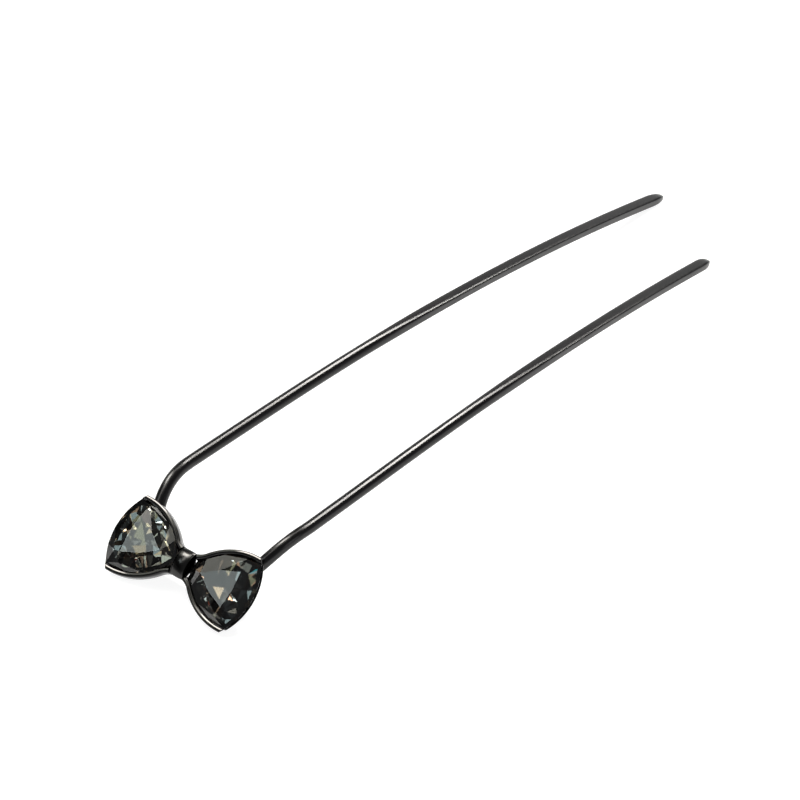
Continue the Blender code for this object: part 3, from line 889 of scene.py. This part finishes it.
wire = {
    "radius": 0.955, "crossbarHalf": 1.86, "crossbarReach": 0.20, "cornerRadius": 8.84, "splay": 18.0,
    "shoulderStart": 5.25, "shoulderRadius": 11.20, "widestReach": 15.0, "widestHalf": 11.56,
    "tipHalf": 8.37, "straightShare": 0.567, "reach": 116.87, "rightShort": 9.87, "tilt": bowTilt,
    "droopStart": 29.5, "droop": 11.2, "droopPower": 1.35, "cupDepth": cup["depth"], "gap": 0.17,
    "coinStart": 50.0, "coinEnd": 76.0, "coinHalfWidth": 0.97, "coinHalfThick": 0.62, "square": 4.6,
    "leftTip": 3.0, "rightTip": 2.2, "sides": 48, "prongSteps": 150, "crossbarSteps": 4, "cornerSteps": 30,
    "shoulderSteps": 24, "sideViewSteps": 1200, "smoothAngle": 60, "rubbed": (1.6 / 3, 2.6 / 3),
}
tipShares = (1.0, 0.86, 0.72, 0.58, 0.45, 0.34, 0.24, 0.16, 0.10, 0.05, 0.02, 0.006)


# How steeply the wire climbs, at a distance along it from the crossbar
def pitchAt(reach):
    tilt = math.radians(wire["tilt"])
    shoulderEnd = wire["shoulderStart"] + wire["shoulderRadius"] * tilt
    if reach < wire["shoulderStart"]:
        return tilt
    if reach < shoulderEnd:
        return tilt * (shoulderEnd - reach) / (shoulderEnd - wire["shoulderStart"])
    if reach < wire["droopStart"]:
        return 0
    share = (reach - wire["droopStart"]) / (wire["reach"] - wire["droopStart"])
    return -math.radians(wire["droop"]) * share ** wire["droopPower"]


# Running place of the wire seen from its side: (y, z) every tenth of a millimetre or so
def sideView():
    steps = wire["sideViewSteps"]
    step = wire["reach"] / steps
    level = wire["cupDepth"] + wire["gap"] + wire["radius"]
    tilt = math.radians(wire["tilt"])
    y, z = level * math.sin(tilt), -level * math.cos(tilt)
    rows = [(y, z)]
    for i in range(steps):
        pitch = pitchAt((i + 0.5) * step)
        y += math.cos(pitch) * step
        z += math.sin(pitch) * step
        rows.append((y, z))
    return rows


# Half the gap between the prongs' middles: a smooth bulge after the corners, then a slow narrowing
def halfGap(reach):
    splay = math.radians(wire["splay"])
    cornerReach = wire["crossbarReach"] + wire["cornerRadius"] * (1 - math.sin(splay))
    cornerX = wire["crossbarHalf"] + wire["cornerRadius"] * math.cos(splay)
    narrowing = wire["widestHalf"] - wire["tipHalf"]
    span = wire["reach"] - wire["widestReach"]
    if reach < wire["widestReach"]:
        length = wire["widestReach"] - cornerReach
        t = (reach - cornerReach) / length
        rise = 2 * t ** 3 - 3 * t ** 2
        startSlope = math.tan(splay) * length
        endSlope = -narrowing / span * wire["straightShare"] * length
        return (cornerX * (1 + rise) - wire["widestHalf"] * rise
                + startSlope * (t ** 3 - 2 * t ** 2 + t) + endSlope * (t ** 3 - t ** 2))
    t = (reach - wire["widestReach"]) / span
    return wire["widestHalf"] - narrowing * (wire["straightShare"] * t + (1 - wire["straightShare"]) * t * t)


# Places along one prong, from the crossbar to the tip: (half gap, reach, share of full thickness)
def prongPlaces(reachEnd, tipLength):
    steps = wire["crossbarSteps"]
    places = [(wire["crossbarHalf"] * i / steps, wire["crossbarReach"], 1.0) for i in range(1, steps)]
    splay = math.radians(wire["splay"])
    for i in range(wire["cornerSteps"] + 1):
        turn = (math.pi / 2 - splay) * i / wire["cornerSteps"]
        reach = wire["crossbarReach"] + wire["cornerRadius"] * (1 - math.cos(turn))
        places.append((wire["crossbarHalf"] + wire["cornerRadius"] * math.sin(turn), reach, 1.0))
    start = places[-1][1]
    for i in range(1, wire["shoulderSteps"] + 1):
        reach = start + (wire["widestReach"] - start) * i / wire["shoulderSteps"]
        places.append((halfGap(reach), reach, 1.0))
    last = reachEnd - tipLength
    for i in range(1, wire["prongSteps"]):
        reach = wire["widestReach"] + (last - wire["widestReach"]) * i / wire["prongSteps"]
        places.append((halfGap(reach), reach, 1.0))
    for share in tipShares:
        reach = reachEnd - tipLength * share
        places.append((halfGap(reach), reach, math.sqrt(1 - (1 - share) ** 2)))
    return places


# How far the wire is pressed flat, from 0 to 1
def coinAt(reach):
    return smoothStep((reach - wire["coinStart"]) / (wire["coinEnd"] - wire["coinStart"]))


# One section of the wire, square to its run
def wireRing(place, tangent, profile):
    x, reach, size = place
    spot = reach / wire["reach"] * (len(profile) - 1)
    index = min(int(spot), len(profile) - 2)
    low, high = profile[index], profile[index + 1]
    share = spot - index
    centre = Vector((x, low[0] + (high[0] - low[0]) * share, low[1] + (high[1] - low[1]) * share))
    pitch = pitchAt(reach)
    normal = Vector((0, -math.sin(pitch), math.cos(pitch)))
    heading = Vector((tangent[0], tangent[1] * math.cos(pitch), tangent[1] * math.sin(pitch)))
    across = heading.cross(normal).normalized()
    coin = coinAt(reach)
    halfWidth = wire["radius"] + (wire["coinHalfWidth"] - wire["radius"]) * coin
    halfThick = wire["radius"] + (wire["coinHalfThick"] - wire["radius"]) * coin
    power = 2 / (2 + (wire["square"] - 2) * coin)
    ring = []
    for i in range(wire["sides"]):
        angle = 2 * math.pi * (i + 0.5) / wire["sides"]
        c, s = math.cos(angle), math.sin(angle)
        a = math.copysign(abs(c) ** power, c) * halfWidth * size
        b = math.copysign(abs(s) ** power, s) * halfThick * size
        ring.append((centre + across * a + normal * b) * mm)
    return ring


def makeFork():
    left = prongPlaces(wire["reach"], wire["leftTip"])
    right = prongPlaces(wire["reach"] - wire["rightShort"], wire["rightTip"])
    places = [(-x, reach, size) for x, reach, size in reversed(left)]
    places += [(0, wire["crossbarReach"], 1.0)] + right
    profile = sideView()
    rings = []
    for i, place in enumerate(places):
        before, after = places[max(i - 1, 0)], places[min(i + 1, len(places) - 1)]
        rings.append(wireRing(place, (after[0] - before[0], after[1] - before[1]), profile))
    piece = growPiece("bentWire", rings)
    spine = [sum(ring, Vector((0, 0, 0))) / len(ring) for ring in rings]
    seat = KDTree(len(spine))
    for i, spot in enumerate(spine):
        seat.insert(spot, i)
    seat.balance()

    def rubbedAt(co):
        spot, i, far = seat.find(co)
        outward = abs((co - spot).normalized().x)
        start, end = wire["rubbed"]
        outside = smoothStep((outward - start) / (end - start))
        return coinAt(places[i][1]) * outside

    markVerts(piece, "rubbed", rubbedAt)
    wirePlating = makePlating("blackNickelWire", plating["wire"], "rubbed")
    finishPiece(piece, "wire_fork", [wirePlating], wire["smoothAngle"], prongPlace)


makeFork()
print("wire is bent")


# Solder behind the cups, and the glue under the stones

solderLook = {"weld": 0.002, "voxel": 0.11, "smoothing": 6, "strength": 0.5, "smoothAngle": 60}
glueLook = {"colour": (0.30, 0.28, 0.25), "grain": 700, "rough": (0.25, 0.55)}


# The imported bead, remeshed and smoothed until it looks like metal that has flowed
def makeSolder(word):
    node = word + "_solder"
    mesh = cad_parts[node].data.copy()
    piece = bpy.data.objects.new(word + "SolderBead", mesh)
    bpy.context.scene.collection.objects.link(piece)
    mesh.materials.clear()
    selectOnly(piece)
    bpy.ops.object.mode_set(mode="EDIT")
    bpy.ops.mesh.select_all(action="SELECT")
    bpy.ops.mesh.remove_doubles(threshold=solderLook["weld"] * mm)
    bpy.ops.object.mode_set(mode="OBJECT")
    remesh = piece.modifiers.new("remesh", "REMESH")
    remesh.mode = "VOXEL"
    remesh.voxel_size = solderLook["voxel"] * mm
    bpy.ops.object.modifier_apply(modifier="remesh")
    soften = piece.modifiers.new("soften", "SMOOTH")
    soften.factor = solderLook["strength"]
    soften.iterations = solderLook["smoothing"]
    bpy.ops.object.modifier_apply(modifier="soften")
    finishPiece(piece, node, [solderPlating], solderLook["smoothAngle"])


def makeGlue():
    material, tree, shader = newMaterial("curedGlue")
    grain = tree.nodes.new("ShaderNodeTexNoise")
    grain.inputs["Scale"].default_value = glueLook["grain"]
    rough = addRange(tree, grain.outputs["Fac"], (0, 1), glueLook["rough"])
    tree.links.new(rough, shader.inputs["Roughness"])
    shader.inputs["Base Color"].default_value = (*glueLook["colour"], 1)
    return material


solderPlating = makePlating("blackNickelSolder", plating["solder"])
curedGlue = makeGlue()
for word in ("left", "right"):
    makeSolder(word)
    dressNode(word + "_glue_bed", curedGlue)
print("solder and glue are dressed")

bpy.context.view_layer.update()
